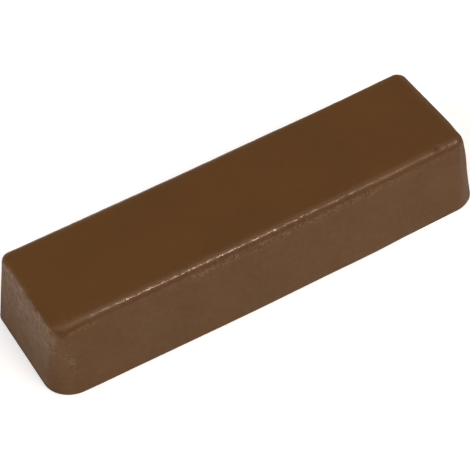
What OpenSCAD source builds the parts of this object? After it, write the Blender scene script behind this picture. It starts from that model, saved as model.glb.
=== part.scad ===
// Furniture repair wax stick: one bar of pigmented wax, poured into an open mould and knocked out cold.
// X runs along the bar, Y across it and Z up. The poured face is underneath, on the plane z = 0, and the
// origin is the middle of it. The mould floor made the top face, so every wall leans in as it rises.

/* [Bar] */
// Length over the poured face, where the bar is longest
bar_length = 80; // [60:1:110]
// Width over the poured face, where the bar is widest
bar_width = 23.2; // [18:0.2:34]
// Height from the poured face to the top face
bar_height = 14.4; // [9:0.2:20]

/* [Mould] */
// Draft of the four walls, in degrees from upright
draft = 7; // [2:0.5:10]
// Radius of the round along the top edges
top_edge_r = 1.3; // [0.5:0.1:2.3]
// Radius of the upright corners where they meet the poured face
base_corner_r = 4; // [3.2:0.1:7]

/* [Poured face] */
// Depth that the middle of the poured face sinks as the wax cools
sink_depth = 0.5; // [0.2:0.05:1]
// Width of the flat rim that stays between the sink and the walls
sink_rim = 2; // [1:0.25:4]

/* [Hidden] */
$fa = 3;
$fs = 0.15;
wax_brown = [0.38, 0.26, 0.16];

// The top edge's round: the height of its centre, and where it runs into the drafted wall. Both are
// measured from a corner's centre line, so they say how much radius the draft leaves to a corner up there.
round_z = bar_height - top_edge_r;
round_x = base_corner_r - round_z * tan(draft) - top_edge_r / cos(draft);
round_end = [round_x + top_edge_r * cos(draft), round_z + top_edge_r * sin(draft)];

// Middle of the bar, inside the four corner centres
core = [bar_length - 2 * base_corner_r, bar_width - 2 * base_corner_r];

// The sink is part of a ball at each end of the poured face, and of a long round bar between them
sink_half_width = bar_width / 2 - sink_rim;
sink_r = (pow(sink_half_width, 2) + pow(sink_depth, 2)) / (2 * sink_depth);
sink_run = bar_length - bar_width;

// Section through a wall, from a corner's centre line at x = 0 outwards: drafted, with a round top edge
module edge_profile() {
    polygon([[0, 0], [base_corner_r, 0], round_end, [round_x, bar_height], [0, bar_height]]);
    translate([round_x, round_z]) intersection() {
        circle(r = top_edge_r);
        square(2 * top_edge_r);
    }
}

// A wall of the given length, with the outside at +X
module wall(length) {
    rotate([90, 0, 0]) linear_extrude(length, center = true) edge_profile();
}

// The quarter turn between two walls, in the +X +Y corner
module corner() {
    rotate_extrude(angle = 90) edge_profile();
}

// Four walls and four corners round a plain core
module cast_block() {
    linear_extrude(bar_height) square(core, center = true);
    for (turn = [0, 180]) {
        rotate(turn) translate([core.x / 2, 0]) wall(core.y);
        rotate(turn + 90) translate([core.y / 2, 0]) wall(core.x);
        rotate(turn) translate(core / 2) corner();
        rotate(turn + 90) translate([core.y, core.x] / 2) corner();
    }
}

// Half the section of the sink, from its middle outwards; it runs on below the poured face
module sink_profile() {
    intersection() {
        translate([0, sink_depth - sink_r]) circle(r = sink_r);
        translate([0, -sink_depth]) square([bar_width, 2 * sink_depth]);
    }
}

// The shallow hollow that the cooling wax leaves in its poured face, round at both ends
module sink() {
    for (turn = [0, 180]) {
        rotate(turn + 90) rotate([90, 0, 0]) linear_extrude(sink_run, center = true) sink_profile();
        rotate(turn) translate([sink_run / 2, 0]) rotate(-90) rotate_extrude(angle = 180) sink_profile();
    }
}

module wax_bar() {
    color(wax_brown) difference() {
        cast_block();
        sink();
    }
}

wax_bar();
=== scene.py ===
"""The looks of a furniture repair wax stick: one bar of brown pigmented wax, cast in an open drafted mould.

Everything is in metres, in the frame of the CAD model: X runs along the bar, Y across it and Z up from the
poured face, which lies on the floor. The photograph looks down on the top face, the long wall at -Y (the
near wall) and the end wall at -X (the left end).
"""

import math
import random

import bpy
import numpy as np
from mathutils import Matrix, Vector, noise


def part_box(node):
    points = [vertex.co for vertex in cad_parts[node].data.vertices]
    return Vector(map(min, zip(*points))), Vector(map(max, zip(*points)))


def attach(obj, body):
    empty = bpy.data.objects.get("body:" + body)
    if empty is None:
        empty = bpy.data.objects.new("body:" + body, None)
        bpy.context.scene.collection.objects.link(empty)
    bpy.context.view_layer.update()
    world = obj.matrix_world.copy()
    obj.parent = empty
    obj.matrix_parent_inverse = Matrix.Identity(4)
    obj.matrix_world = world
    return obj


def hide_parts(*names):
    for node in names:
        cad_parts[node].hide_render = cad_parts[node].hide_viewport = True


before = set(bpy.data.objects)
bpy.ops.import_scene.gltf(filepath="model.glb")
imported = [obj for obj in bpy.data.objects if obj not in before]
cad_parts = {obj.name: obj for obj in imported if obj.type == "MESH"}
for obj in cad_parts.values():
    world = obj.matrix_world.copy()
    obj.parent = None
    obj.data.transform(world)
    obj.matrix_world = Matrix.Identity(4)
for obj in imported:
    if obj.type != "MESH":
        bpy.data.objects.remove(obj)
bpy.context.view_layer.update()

CAD_LOW, CAD_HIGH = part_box("wax_bar")
MM = 0.001

# Overall sizes, from the frame
LENGTH = CAD_HIGH[0] - CAD_LOW[0]
WIDTH = CAD_HIGH[1] - CAD_LOW[1]
HEIGHT = CAD_HIGH[2] - CAD_LOW[2]

# Form of the cast bar
DRAFT = math.radians(7)
TOP_EDGE_R = 1.3 * MM
# Corner radii at the base and where the top round starts: near left, near right, far right and far left
BASE_CORNER_R = np.array([4.7, 4.65, 4.2, 2.6]) * MM
TOP_CORNER_R = np.array([2.0, 2.0, 1.85, 1.8]) * MM
BASE_EDGE_R = 0.18 * MM
SINK_DEPTH = 0.5 * MM
SINK_RIM = 2 * MM
TOP_SAG = 0.04 * MM
# The bar lies slightly bent: its ends stand this much further back than its middle
BOW = 0.43 * MM

# Marks on the top edges: two melted corners, the fold beside the left one, dents and a glint
MELT_LEFT_X = -LENGTH / 2 + 4.5 * MM
MELT_RIGHT_X = LENGTH / 2 - 4.8 * MM
MELT_DEPTH = 0.26 * MM
FOLD_FROM_LEFT_END = 3.4 * MM
DENT_X = 33 * MM
DENT_DEPTH = 0.26 * MM
SMALL_DENTS = 34
GLINT_X = 37 * MM

# Where the round of the top edge starts on the wall, and where its middle line runs
ROUND_Z = HEIGHT - TOP_EDGE_R * (1 - math.sin(DRAFT))
EDGE_INSET = HEIGHT * math.tan(DRAFT)
EDGE_DROP = 0.38 * MM

# Mesh density: steps along one side of the bar, and up its wall
STEPS_LONG = 256
STEPS_SHORT = 76
STEPS_HALF_CORNER = 8
RINGS_BASE_EDGE = 3
RINGS_WALL = 50
RINGS_TOP_EDGE = 12
WALL_RING_CROWDING = 0.55

# Camera: measured from the photograph with a pinhole model of the bar
PHOTO_PIXELS = 470
CAMERA_AZIMUTH = math.radians(-26.27)
CAMERA_ELEVATION = math.radians(47.35)
CAMERA_ROLL = math.radians(-5.36)
CAMERA_DISTANCE = 425.6 * MM
CAMERA_FOCAL_PIXELS = 2563
CAMERA_SLIDE = (-0.87 * MM, 3.39 * MM)
SENSOR_WIDTH = 36

# Colours of the wax, linear
WAX_DEEP = (0.0801, 0.0322, 0.0049, 1)
WAX_WARM = (0.0976, 0.0397, 0.0070, 1)
# The two pale colours are bloom, and they also carry painted light: on the ends, at the near wall's foot
# and on the rubbed edges
WAX_BLOOM_AND_LIGHT = (0.290, 0.255, 0.155, 1)
WAX_PINK_BLOOM_AND_LIGHT = (0.314, 0.190, 0.182, 1)
# Painted shade: the colour laid into the fold, the dent, the corner's tip and the contact shadow along the
# left end's foot
WAX_PAINTED_SHADE = (0.050, 0.020, 0.003, 1)

# The strip light that draws the bright line along the near top edge is warm
STRIP_COLOUR = (1.0, 0.72, 0.57)


def smooth_step(low, high, value):
    """0 below low, 1 above high, and an S-curve between them."""
    t = np.clip((value - low) / (high - low), 0, 1)
    return t * t * (3 - 2 * t)


def bell(value, centre, width):
    """A bell curve of height 1 at centre."""
    return np.exp(-((value - centre) / width) ** 2)


def noise_at(points, size, seed, octaves=1):
    """Smooth noise from about -1 to 1 at each point. size is how large its features are, in metres."""
    shift = Vector((17.3 * seed, -9.1 * seed, 4.7 * seed))
    values = np.empty(len(points))
    for i, point in enumerate(points / size):
        values[i] = noise.fractal(Vector(point) + shift, 1.0, 2.0, octaves)
    return values


# ---------------------------------------------------------------- form of the perfect casting


def half_corner(half_side, half_across, radius):
    """Half of the corner where a side at -half_across ends, from the middle of the corner to the side."""
    angles = np.linspace(math.pi / 4, math.pi / 2, STEPS_HALF_CORNER + 1)
    along = (half_side - radius) + radius * np.cos(angles)
    across = -(half_across - radius) - radius * np.sin(angles)
    return np.stack([along, across], axis=1)


def side_of_outline(half_side, half_across, first_radius, last_radius, steps):
    """One straight side at -half_across with half a corner at each end, as (along, across) points."""
    first = half_corner(half_side, half_across, first_radius) * (-1, 1)
    last = half_corner(half_side, half_across, last_radius)[::-1]
    along = np.linspace(first[-1, 0], last[0, 0], steps + 1)[1:-1]
    straight = np.stack([along, np.full(len(along), -half_across)], axis=1)
    return np.concatenate([first, straight, last])


def outline(half_x, half_y, radii):
    """A round-cornered rectangle, as one closed loop from the near left corner along the near side."""
    near_left, near_right, far_right, far_left = radii
    near = side_of_outline(half_x, half_y, near_left, near_right, STEPS_LONG)
    right = side_of_outline(half_y, half_x, near_right, far_right, STEPS_SHORT)
    far = side_of_outline(half_x, half_y, far_right, far_left, STEPS_LONG)
    left = side_of_outline(half_y, half_x, far_left, near_left, STEPS_SHORT)
    right = np.stack([-right[:, 1], right[:, 0]], axis=1)
    left = np.stack([left[:, 1], -left[:, 0]], axis=1)
    return np.concatenate([near[:-1], right[:-1], -far[:-1], left[:-1]])


def ring_levels():
    """(inset from the base outline, height) of each ring, from the poured face up to the flat top."""
    levels = []
    for angle in np.linspace(-math.pi / 2, 0, RINGS_BASE_EDGE + 1):
        levels.append((BASE_EDGE_R * (1 - math.cos(angle)), BASE_EDGE_R * (1 + math.sin(angle))))
    for step in np.linspace(0, 1, RINGS_WALL + 1)[1:]:
        crowded = step * (1 + WALL_RING_CROWDING - WALL_RING_CROWDING * step)
        height = BASE_EDGE_R + (ROUND_Z - BASE_EDGE_R) * crowded
        levels.append((height * math.tan(DRAFT), height))
    centre_z = HEIGHT - TOP_EDGE_R
    centre_inset = centre_z * math.tan(DRAFT) + TOP_EDGE_R / math.cos(DRAFT)
    for angle in np.linspace(DRAFT, math.pi / 2, RINGS_TOP_EDGE + 1)[1:]:
        inset = centre_inset - TOP_EDGE_R * math.cos(angle)
        levels.append((inset, centre_z + TOP_EDGE_R * math.sin(angle)))
    return levels


def corner_radii(inset, height):
    """The corners tighten in a straight line up the wall, and then by the round of the top edge."""
    if height <= ROUND_Z:
        return BASE_CORNER_R + (TOP_CORNER_R - BASE_CORNER_R) * height / ROUND_Z
    return TOP_CORNER_R - (inset - ROUND_Z * math.tan(DRAFT))


def patch_inside(loop, height):
    """A grid that fills a closed loop: the loop's own points on its border, blended smoothly across it."""
    count_x = STEPS_LONG + 2 * STEPS_HALF_CORNER
    count_y = STEPS_SHORT + 2 * STEPS_HALF_CORNER
    near = loop[:count_x + 1]
    right = loop[count_x:count_x + count_y + 1]
    far = loop[count_x + count_y:2 * count_x + count_y + 1][::-1]
    left = np.concatenate([loop[2 * count_x + count_y:], loop[:1]])[::-1]
    u = np.linspace(0, 1, count_x + 1)[:, None, None]
    v = np.linspace(0, 1, count_y + 1)[None, :, None]
    ruled = (1 - v) * near[:, None] + v * far[:, None] + (1 - u) * left[None] + u * right[None]
    corners = (1 - u) * (1 - v) * near[0] + u * (1 - v) * near[-1] + (1 - u) * v * far[0] + u * v * far[-1]
    grid = ruled - corners
    return np.concatenate([grid, np.full(grid.shape[:2] + (1,), height)], axis=2)


def cap_indices(ring_start, inside_start):
    """Vertex numbers over a cap's grid: the ring's own vertices on the border and new ones inside."""
    count_x = STEPS_LONG + 2 * STEPS_HALF_CORNER
    count_y = STEPS_SHORT + 2 * STEPS_HALF_CORNER
    total = 2 * (count_x + count_y)
    index = np.empty((count_x + 1, count_y + 1), dtype=int)
    index[:, 0] = ring_start + np.arange(count_x + 1)
    index[-1, :] = ring_start + count_x + np.arange(count_y + 1)
    index[::-1, -1] = ring_start + count_x + count_y + np.arange(count_x + 1)
    index[0, ::-1] = ring_start + (2 * count_x + count_y + np.arange(count_y + 1)) % total
    inside = np.arange((count_x - 1) * (count_y - 1)).reshape(count_x - 1, count_y - 1)
    index[1:-1, 1:-1] = inside_start + inside
    return index


def quads(index):
    """The four-sided faces of a grid of vertex numbers."""
    corners = [index[:-1, :-1], index[1:, :-1], index[1:, 1:], index[:-1, 1:]]
    return np.stack(corners, axis=-1).reshape(-1, 4)


def perfect_form():
    """Points and faces of the casting before anything uneven: rings up the wall, closed by two caps."""
    levels = ring_levels()
    loops = [outline(LENGTH / 2 - i, WIDTH / 2 - i, corner_radii(i, z)) for i, z in levels]
    total = len(loops[0])
    rings = [np.column_stack([loop, np.full(total, z)]) for loop, (i, z) in zip(loops, levels)]
    bottom = patch_inside(loops[0], levels[0][1])[1:-1, 1:-1].reshape(-1, 3)
    top = patch_inside(loops[-1], levels[-1][1])[1:-1, 1:-1].reshape(-1, 3)
    points = np.concatenate(rings + [bottom, top])
    wall = np.arange(len(rings) * total).reshape(len(rings), total).T
    wall = np.concatenate([wall, wall[:1]])
    bottom_index = cap_indices(0, len(rings) * total)
    top_index = cap_indices((len(rings) - 1) * total, len(rings) * total + len(bottom))
    faces = np.concatenate([quads(wall), quads(bottom_index.T), quads(top_index)])
    return points, faces


# ---------------------------------------------------------------- marks of casting and handling


def dent_distance(points):
    """How far each point lies from the middle of the large dent, high on the near top edge."""
    middle = np.array((DENT_X, EDGE_INSET + 0.75 * MM - WIDTH / 2, HEIGHT - 0.05 * MM))
    return np.linalg.norm(points - middle, axis=1)


class Marks:
    """Where marks of a real casting, and painted light and shade, lie on the perfect form: 0 to 1 at its
    points.
    """

    def __init__(self, points, normals):
        self.points = points
        self.normals = normals
        self.top = smooth_step(0.5, 0.95, normals[:, 2])
        self.bottom = smooth_step(0.5, 0.95, -normals[:, 2])
        self.top_round = smooth_step(0.15, 0.45, normals[:, 2])
        self.top_round *= 1 - smooth_step(0.85, 0.98, normals[:, 2])
        self.end = smooth_step(0.35, 0.9, np.abs(normals[:, 0]))
        self.near = smooth_step(0.3, 0.8, -normals[:, 1])
        self.broad = noise_at(points, 22 * MM, 1)
        self.medium = noise_at(points, 5 * MM, 2, 2)
        self.small = noise_at(points, 1.3 * MM, 3, 2)
        self.melt = self.melted_corners()
        self.fold = self.shaded_fold()

    def melted_corners(self):
        """Both near top corners, the left one more, where the round of the edge is wider than elsewhere."""
        x, y, z = self.points.T
        along = bell(x, MELT_LEFT_X, 3.2 * MM) + 0.35 * bell(x, MELT_RIGHT_X, 1.5 * MM)
        from_edge = np.hypot(y + WIDTH / 2 - EDGE_INSET, z - HEIGHT)
        return along * bell(from_edge, 0, 1.8 * MM)

    def from_fold_start(self):
        """How far each point lies to the right of where the fold starts."""
        return np.maximum(self.points[:, 0] + LENGTH / 2 - FOLD_FROM_LEFT_END, 0)

    def shaded_fold(self):
        """A shallow groove low on the near round, darkened with painted shade. It drops into a fold at the
        melted corner.
        """
        x, y, z = self.points.T
        fold_z = ROUND_Z + 0.36 * MM - 0.9 * MM * np.exp(-self.from_fold_start() / (1.6 * MM))
        start = smooth_step(-LENGTH / 2 + 2.6 * MM, -LENGTH / 2 + 3.8 * MM, x)
        return bell(z, fold_z, 0.3 * MM) * start * smooth_step(0.3, 0.6, -self.normals[:, 1])

    def painted_shade(self):
        """Painted shade: in the fold and the dent, on the melted corner's tip, and a contact shadow along
        the left end's foot.
        """
        x, y, z = self.points.T
        tip = bell(x, -37.0 * MM, 1.0 * MM) * bell(z, 13.4 * MM, 0.7 * MM) * (y < 0)
        # The left end's foot: a painted contact shadow
        foot = (1 - smooth_step(0.2 * MM, 1.0 * MM, z)) * self.end * (x < 0)
        at_corner = 1 - smooth_step(0, 5 * MM, self.from_fold_start())
        dent = bell(dent_distance(self.points), 0, 0.45 * MM)
        return np.clip((0.2 + 0.3 * at_corner) * self.fold + 0.5 * tip + 0.9 * foot + 0.6 * dent, 0, 1)

    def frost(self):
        """Pale crumbs on the near wall: a long patch under the round and two by the melted corner."""
        x, y, z = self.points.T
        where = smooth_step(-22 * MM, -12 * MM, x) * (1 - 0.6 * smooth_step(16 * MM, 26 * MM, x))
        patches = 0.85 * where * bell(z, ROUND_Z - 0.5 * MM, 0.75 * MM)
        patches += 0.9 * bell(x, -33 * MM, 2.6 * MM) * bell(z, ROUND_Z - 0.55 * MM, 0.4 * MM)
        patches += 0.8 * bell(x, -36.4 * MM, 0.9 * MM) * bell(z, 7 * MM, 2.4 * MM)
        return patches * self.near * np.clip(0.6 + 0.9 * self.small, 0, 1)

    def bloom_and_painted_light(self):
        """How much pale colour lies on the wax: real bloom, with painted light and shade mixed in. It
        starts below the round of the top edge.
        """
        x, y, z = self.points.T
        # The round above this start has no pale colour: painted shade for the dark band under the highlight
        start = ROUND_Z + 0.1 * MM - 0.15 * MM * smooth_step(-27 * MM, -20 * MM, x) + 0.8 * MM * self.end
        ragged = z + (0.18 + 0.2 * self.end) * MM * self.small
        wall = (1 - smooth_step(start - 0.4 * MM, start + 0.4 * MM, ragged)) * (1 - self.bottom)
        # On the ends the pale colour grows towards the top, partly bloom and partly painted light: the end
        # is lit more near its top
        rise = smooth_step(0.1, 1.0, z / HEIGHT) * np.where(x < 0, 1, 0.2)
        on_end = (0.005 + 0.27 * rise) * (1 + 0.25 * self.medium)
        thin = smooth_step(22 * MM, 30 * MM, x) * smooth_step(0.3, 0.8, z / HEIGHT)
        # A painted glow low on the near wall, of light thrown up by the floor
        on_foot = 0.03 * bell(z, 0.7 * MM, 0.5 * MM) * smooth_step(-10 * MM, 5 * MM, x)
        on_side = (0.063 * (1 - 0.3 * thin) + on_foot) * (1 + 0.35 * self.medium)
        wall *= self.end * on_end + (1 - self.end) * on_side
        # A little pale colour on the rounds of the top edges, more on the far one; the rubbed edges' sheen
        # is a painted highlight
        on_round = np.where(y < 0, 0.015, 0.05) * self.top_round + 0.05 * self.sheen()
        return np.clip(wall + 0.08 * self.bottom + on_round + 0.035 * self.rim(), 0, 1)

    def rim(self):
        """The top just inside its long edges and its right edge, made a little paler."""
        x, y, z = self.points.T
        inside = np.minimum(WIDTH / 2 - EDGE_INSET - np.abs(y), LENGTH / 2 - EDGE_INSET - x)
        return bell(inside, 0.8 * MM, 0.5 * MM) * smooth_step(0.4, 0.7, self.normals[:, 2])

    def pink(self):
        """Where the pale colour is pink: mostly on the left end, and on the rubbed edges, where it tints
        the painted highlight.
        """
        return 0.2 + 0.8 * np.maximum(self.end * (self.points[:, 0] < 0), self.top_round)

    def rub(self):
        """Where hands have rubbed the long top edges: along the middle of their round."""
        n_x = self.normals[:, 0]
        n_z = self.normals[:, 2]
        middle = smooth_step(0.35, 0.6, n_z) * (1 - smooth_step(0.80, 0.92, n_z))
        return middle * (1 - smooth_step(0.08, 0.3, np.abs(n_x)))

    def polish(self):
        """How hard the rubbed edges shine: less towards both ends, where they only have a soft sheen."""
        x, y, z = self.points.T
        wear = np.clip(0.72 + 0.4 * self.medium + 0.3 * self.small, 0, 1)
        from_left = smooth_step(-37 * MM, -27 * MM, x)
        to_right = 1 - 0.12 * smooth_step(-14 * MM, -8 * MM, x) - 0.33 * smooth_step(0 * MM, 12 * MM, x)
        to_right -= 0.2 * smooth_step(18 * MM, 30 * MM, x)
        glint = 0.8 * bell(x, GLINT_X, 0.5 * MM) * (y < 0)
        return self.rub() * (wear * from_left * to_right * (1 - 0.8 * bell(x, DENT_X, 1.0 * MM)) + glint)

    def sheen(self):
        """The softer shine of the rubbed edges near both ends of the bar, also painted into the colour as a
        highlight.
        """
        x = self.points[:, 0]
        near_ends = 1 - smooth_step(-32 * MM, -22 * MM, x) + smooth_step(14 * MM, 26 * MM, x)
        return self.rub() * near_ends * (1 - 0.7 * bell(x, DENT_X, 1.0 * MM))


def sink_height(points, wander):
    """How far the poured face has sunk: the CAD model's shallow trough with round ends, and ripples."""
    half_width = WIDTH / 2 - SINK_RIM
    radius = (half_width ** 2 + SINK_DEPTH ** 2) / (2 * SINK_DEPTH)
    past_end = np.maximum(np.abs(points[:, 0]) - (LENGTH - WIDTH) / 2, 0)
    from_middle = np.hypot(past_end, points[:, 1])
    inside = np.sqrt(np.maximum(radius ** 2 - from_middle ** 2, 0)) - (radius - SINK_DEPTH)
    ripples = 0.015 * MM * np.sin((from_middle + 3 * MM * wander) / (0.6 * MM))
    return np.maximum(inside, 0) + ripples * smooth_step(0, SINK_DEPTH, inside)


def nicks(points):
    """Depth of the large dent, and of the small ones along the top edges, deeper on the near edge."""
    dice = random.Random(11)
    depth = DENT_DEPTH * bell(dent_distance(points), 0, 0.55 * MM)
    for step in range(SMALL_DENTS):
        side = dice.choice((-1, 1))
        spot = (dice.uniform(-0.45, 0.45) * LENGTH, side * (WIDTH / 2 - EDGE_INSET), HEIGHT - EDGE_DROP)
        away = np.linalg.norm(points - np.array(spot), axis=1)
        deep = dice.uniform(0.02, 0.06) * MM * (0.4 if side > 0 else 1)
        depth += deep * bell(away, 0, dice.uniform(0.3, 0.7) * MM)
    return depth


def wall_waves(points, marks):
    """How far walls stand out from straight: near and left at their foot, far and right at their head."""
    x, y, z = points.T
    foot = 1 - smooth_step(0.3 * HEIGHT, 0.8 * HEIGHT, z)
    head = smooth_step(0.5 * HEIGHT, 0.9 * HEIGHT, z)
    near = 0.10 * bell(x, -5 * MM, 12 * MM) + 0.07 * bell(x, -33 * MM, 6 * MM)
    near += 0.09 * bell(x, 18 * MM, 6 * MM) - 0.17 * bell(x, 31 * MM, 6 * MM)
    far = 0.13 * bell(x, -20 * MM, 20 * MM) + 0.09 * bell(x, 8 * MM, 10 * MM)
    far -= 0.05 * bell(x, 23 * MM, 6 * MM)
    left_end = 0.06 * foot
    # The near corner of the right end is worn at its head and full below it
    worn = bell(y, -7.6 * MM, 1.8 * MM) * smooth_step(0.85 * HEIGHT, 0.95 * HEIGHT, z)
    full = bell(y, -10.5 * MM, 2.5 * MM) * bell(z, 9.3 * MM, 2.8 * MM)
    right_end = 0.07 * head * smooth_step(-11 * MM, -6 * MM, y) - 0.19 * worn + 0.21 * full
    long_walls = np.where(y < 0, near * foot, far * head) * (1 - marks.end)
    ends = np.where(x < 0, left_end, right_end) * marks.end
    return MM * (long_walls + ends) * (1 - marks.top) * (1 - marks.bottom)


def bend(points):
    """Bends the bar in plan. Its cross-sections turn with it."""
    u = 2 * points[:, 0] / LENGTH
    slope = 4 * BOW * u / LENGTH
    bent = points.copy()
    bent[:, 0] -= slope * points[:, 1]
    bent[:, 1] += BOW * (u ** 2 - 0.5)
    return bent


def cast_form(points, normals, marks):
    """The perfect form's points, moved by all that a real casting has."""
    offset = 0.035 * MM * marks.broad + 0.012 * MM * marks.medium
    offset += marks.top_round * (0.01 * MM * marks.medium + 0.012 * MM * marks.small)
    offset -= TOP_SAG * marks.top * (1 - (2 * points[:, 1] / WIDTH) ** 2)
    offset += wall_waves(points, marks)
    fold_depth = 0.01 * MM + 0.05 * MM * (1 - smooth_step(4 * MM, 12 * MM, marks.from_fold_start()))
    offset -= fold_depth * marks.fold + nicks(points)
    moved = points + normals * offset[:, None]
    moved[:, 1] += MELT_DEPTH * marks.melt
    moved[:, 2] -= MELT_DEPTH * marks.melt
    moved[:, 2] = np.maximum(moved[:, 2] + marks.bottom * sink_height(points, marks.broad), 0)
    return bend(moved)


def build_mesh(name, points, faces):
    mesh = bpy.data.meshes.new(name)
    mesh.from_pydata(points.tolist(), [], faces.tolist())
    mesh.update()
    mesh.polygons.foreach_set("use_smooth", [True] * len(mesh.polygons))
    return mesh


def vertex_normals(mesh):
    normals = np.empty(3 * len(mesh.vertices))
    mesh.vertex_normals.foreach_get("vector", normals)
    return normals.reshape(-1, 3)


def paint(mesh, name, values):
    """Keeps one number at each vertex for the material to read."""
    attribute = mesh.attributes.new(name, "FLOAT", "POINT")
    attribute.data.foreach_set("value", values.astype(np.float32))


def make_bar():
    points, faces = perfect_form()
    mesh = build_mesh("wax_bar_cast", points, faces)
    normals = vertex_normals(mesh)
    marks = Marks(points, normals)
    mesh.vertices.foreach_set("co", cast_form(points, normals, marks).ravel())
    mesh.update()
    # The pale amount is real bloom with painted light and shade mixed in; the darkening is painted shade
    paint(mesh, "bloom_and_painted_light", marks.bloom_and_painted_light())
    paint(mesh, "polish", marks.polish())
    paint(mesh, "frost", marks.frost())
    paint(mesh, "painted_shade", marks.painted_shade())
    paint(mesh, "sheen", marks.sheen())
    paint(mesh, "pink", marks.pink())
    paint(mesh, "grain", np.maximum(marks.end, np.maximum(marks.frost(), 0.6 * marks.melt)))
    made = bpy.data.objects.new("wax_bar_cast", mesh)
    bpy.context.collection.objects.link(made)
    return made


# ---------------------------------------------------------------- wax


class Nodes:
    """Short ways to add and join the nodes of one material."""

    def __init__(self, name):
        self.material = bpy.data.materials.new(name)
        self.material.use_nodes = True
        self.tree = self.material.node_tree
        self.shader = self.tree.nodes["Principled BSDF"]
        self.output = self.tree.nodes["Material Output"]

    def link(self, source, target):
        self.tree.links.new(source, target)

    def painted(self, name):
        node = self.tree.nodes.new("ShaderNodeAttribute")
        node.attribute_name = name
        return node.outputs["Fac"]

    def noise(self, scale, detail=2.0, roughness=0.5):
        """Noise in object space."""
        place = self.tree.nodes.new("ShaderNodeTexCoord")
        node = self.tree.nodes.new("ShaderNodeTexNoise")
        node.inputs["Scale"].default_value = scale
        node.inputs["Detail"].default_value = detail
        node.inputs["Roughness"].default_value = roughness
        self.link(place.outputs["Object"], node.inputs["Vector"])
        return node.outputs["Fac"]

    def stretch(self, value, from_low, from_high, to_low, to_high):
        node = self.tree.nodes.new("ShaderNodeMapRange")
        node.inputs["From Min"].default_value = from_low
        node.inputs["From Max"].default_value = from_high
        node.inputs["To Min"].default_value = to_low
        node.inputs["To Max"].default_value = to_high
        self.link(value, node.inputs["Value"])
        return node.outputs["Result"]

    def fill(self, sockets, values):
        """Sets each socket to its value, or joins it to its source."""
        for socket, value in zip(sockets, values):
            if isinstance(value, bpy.types.NodeSocket):
                self.link(value, socket)
            else:
                socket.default_value = value

    def math(self, operation, *values):
        node = self.tree.nodes.new("ShaderNodeMath")
        node.operation = operation
        self.fill(node.inputs, values)
        return node.outputs[0]

    def blend(self, amount, first, second):
        node = self.tree.nodes.new("ShaderNodeMix")
        node.data_type = "RGBA"
        self.link(amount, node.inputs[0])
        self.fill([socket for socket in node.inputs if socket.type == "RGBA"], (first, second))
        return [socket for socket in node.outputs if socket.type == "RGBA"][0]

    def bump(self, height, depth, below=None):
        node = self.tree.nodes.new("ShaderNodeBump")
        node.inputs["Distance"].default_value = depth
        self.link(height, node.inputs["Height"])
        if below is not None:
            self.link(below, node.inputs["Normal"])
        return node.outputs["Normal"]


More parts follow.
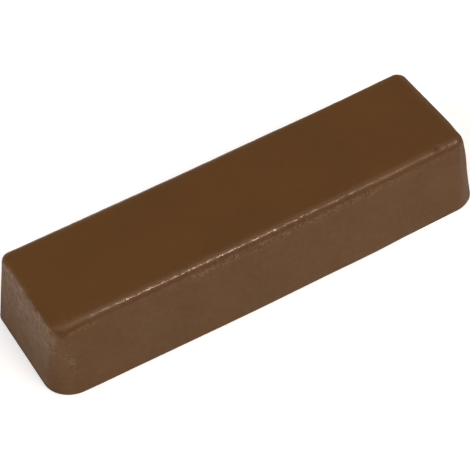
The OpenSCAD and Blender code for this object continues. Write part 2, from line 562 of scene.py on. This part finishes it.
def wax_material():
    """Brown wax under bloom and crumbs mixed with painted light, painted shade in its creases, and a clear
    coat where it is rubbed.
    """
    nodes = Nodes("wax")
    # Colour
    cloud = nodes.stretch(nodes.noise(75, 3), 0.3, 0.7, 0, 0.6)
    fleck = nodes.stretch(nodes.noise(1100, 4, 0.6), 0.3, 0.7, 0, 0.4)
    colour = nodes.blend(nodes.math("ADD", cloud, fleck), WAX_DEEP, WAX_WARM)
    coarse = nodes.painted("grain")
    contrast = nodes.math("MULTIPLY_ADD", coarse, 4, 3.5)
    powder = nodes.math("SUBTRACT", nodes.noise(1000, 6, 0.85), 0.5)
    powder = nodes.math("MULTIPLY_ADD", powder, contrast, 1)
    # Pale colour: bloom and frost crumbs, with painted light and shade in its amount
    bloom_and_painted_light = nodes.math("MULTIPLY", nodes.painted("bloom_and_painted_light"), nodes.math("MAXIMUM", powder, 0))
    crumbs = nodes.stretch(nodes.noise(2300, 3, 0.65), 0.42, 0.66, -0.06, 0.5)
    bloom_and_painted_light = nodes.math("ADD", bloom_and_painted_light, nodes.math("MULTIPLY", nodes.painted("frost"), crumbs))
    pink = nodes.stretch(nodes.noise(620, 3, 0.6), 0.4, 0.6, 0.3, 0.85)
    pink = nodes.math("MULTIPLY", pink, nodes.painted("pink"))
    colour = nodes.blend(bloom_and_painted_light, colour, nodes.blend(pink, WAX_BLOOM_AND_LIGHT, WAX_PINK_BLOOM_AND_LIGHT))
    # Painted shade in the fold, the dent, the corner's tip and the left end's foot
    colour = nodes.blend(nodes.painted("painted_shade"), colour, WAX_PAINTED_SHADE)
    nodes.link(colour, nodes.shader.inputs["Base Color"])

    # Gloss
    rough = nodes.stretch(nodes.noise(420, 3), 0.3, 0.7, 0.40, 0.50)
    rough = nodes.math("MULTIPLY_ADD", coarse, 0.2, rough)
    rough = nodes.math("MULTIPLY_ADD", bloom_and_painted_light, 0.4, rough)
    sheen = nodes.painted("sheen")
    rough = nodes.math("MULTIPLY_ADD", sheen, -0.15, rough)
    nodes.link(rough, nodes.shader.inputs["Roughness"])
    beads = nodes.stretch(nodes.noise(1600, 3, 0.7), 0.40, 0.62, 0.2, 1.6)
    nodes.link(nodes.math("MULTIPLY", nodes.painted("polish"), beads), nodes.shader.inputs["Coat Weight"])
    nodes.shader.inputs["Coat Roughness"].default_value = 0.12
    scuffs = nodes.math("MULTIPLY", nodes.noise(1200, 3, 0.7), nodes.math("MULTIPLY_ADD", sheen, 2, 1))
    nodes.link(nodes.bump(scuffs, 0.06 * MM), nodes.shader.inputs["Coat Normal"])

    # Fine relief
    soft = nodes.bump(nodes.noise(380, 2), 0.03 * MM)
    fine = nodes.bump(nodes.noise(2600, 3, 0.6), 0.012 * MM, soft)
    grain = nodes.math("MULTIPLY", nodes.noise(2000, 4, 0.7), coarse)
    nodes.link(nodes.bump(grain, 0.09 * MM, fine), nodes.shader.inputs["Normal"])

    nodes.shader.inputs["Specular IOR Level"].default_value = 0.19
    nodes.shader.inputs["Subsurface Weight"].default_value = 0.06
    nodes.shader.inputs["Subsurface Radius"].default_value = (1.0, 0.5, 0.25)
    nodes.shader.inputs["Subsurface Scale"].default_value = 0.5 * MM
    return nodes.material


# ---------------------------------------------------------------- stage


def floor_material():
    """White paper that keeps the shadow. A glow that only shows, and lights nothing, makes it white."""
    nodes = Nodes("pale_floor")
    nodes.shader.inputs["Base Color"].default_value = (0.84, 0.84, 0.84, 1)
    nodes.shader.inputs["Roughness"].default_value = 0.9
    nodes.shader.inputs["Specular IOR Level"].default_value = 0.1
    path = nodes.tree.nodes.new("ShaderNodeLightPath")
    glow = nodes.tree.nodes.new("ShaderNodeEmission")
    shown = nodes.math("MAXIMUM", path.outputs["Is Camera Ray"], path.outputs["Is Glossy Ray"])
    shown = nodes.math("MAXIMUM", shown, path.outputs["Is Transmission Ray"])
    nodes.link(nodes.math("MULTIPLY", shown, 0.28), glow.inputs["Strength"])
    both = nodes.tree.nodes.new("ShaderNodeAddShader")
    nodes.link(nodes.shader.outputs[0], both.inputs[0])
    nodes.link(glow.outputs[0], both.inputs[1])
    nodes.link(both.outputs[0], nodes.output.inputs["Surface"])
    return nodes.material


def make_floor():
    half = 1.5
    below = -0.02 * MM
    corners = [(-half, -half, below), (half, -half, below), (half, half, below), (-half, half, below)]
    mesh = bpy.data.meshes.new("floor")
    mesh.from_pydata(corners, [], [(0, 1, 2, 3)])
    floor = bpy.data.objects.new("floor", mesh)
    bpy.context.collection.objects.link(floor)
    floor.data.materials.append(floor_material())


def make_world(strength):
    world = bpy.data.worlds.new("studio")
    world.use_nodes = True
    background = world.node_tree.nodes["Background"]
    background.inputs["Color"].default_value = (1, 1, 1, 1)
    background.inputs["Strength"].default_value = strength
    bpy.context.scene.world = world


def softbox(name, direction, distance, size, radiance, colour=(1, 1, 1)):
    """A flat light that faces the bar. Its radiance is what a mirror would show of it; white paper is 1."""
    data = bpy.data.lights.new(name, "AREA")
    data.shape = "RECTANGLE"
    data.size, data.size_y = size
    data.energy = radiance * math.pi * size[0] * size[1]
    data.color = colour
    light = bpy.data.objects.new(name, data)
    way = Vector(direction).normalized()
    light.location = way * distance
    light.rotation_euler = way.to_track_quat("Z", "Y").to_euler()
    bpy.context.collection.objects.link(light)


def make_camera():
    """Looks at the origin from the fitted direction, turned by the fitted roll."""
    a, e, r = CAMERA_AZIMUTH, CAMERA_ELEVATION, CAMERA_ROLL
    back = Vector((math.sin(a) * math.cos(e), -math.cos(a) * math.cos(e), math.sin(e)))
    level_right = Vector((0, 0, 1)).cross(back).normalized()
    level_up = back.cross(level_right)
    right = math.cos(r) * level_right + math.sin(r) * level_up
    up = -math.sin(r) * level_right + math.cos(r) * level_up
    place = back * CAMERA_DISTANCE + right * CAMERA_SLIDE[0] + up * CAMERA_SLIDE[1]
    data = bpy.data.cameras.new("camera")
    data.sensor_fit = "HORIZONTAL"
    data.sensor_width = SENSOR_WIDTH
    data.lens = SENSOR_WIDTH * CAMERA_FOCAL_PIXELS / PHOTO_PIXELS
    data.clip_start = 0.01
    data.clip_end = 20
    camera = bpy.data.objects.new("camera", data)
    turn = Matrix((right, up, back)).transposed().to_4x4()
    camera.matrix_world = Matrix.Translation(place) @ turn
    bpy.context.collection.objects.link(camera)
    bpy.context.scene.camera = camera


make_camera()
make_world(0.42)
make_floor()
softbox("overhead_softbox", (0.05, -0.15, 1), 1.0, (0.9, 0.7), 1.8)
softbox("edge_strip", (0.27, -0.66, 0.70), 0.8, (0.42, 0.10), 18, STRIP_COLOUR)
softbox("left_fill", (-0.85, -0.2, 0.5), 0.9, (0.6, 0.6), 2.4)

bar = make_bar()
bar.data.materials.append(wax_material())
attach(bar, "root")
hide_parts("wax_bar")

bpy.context.scene.view_settings.view_transform = "Standard"
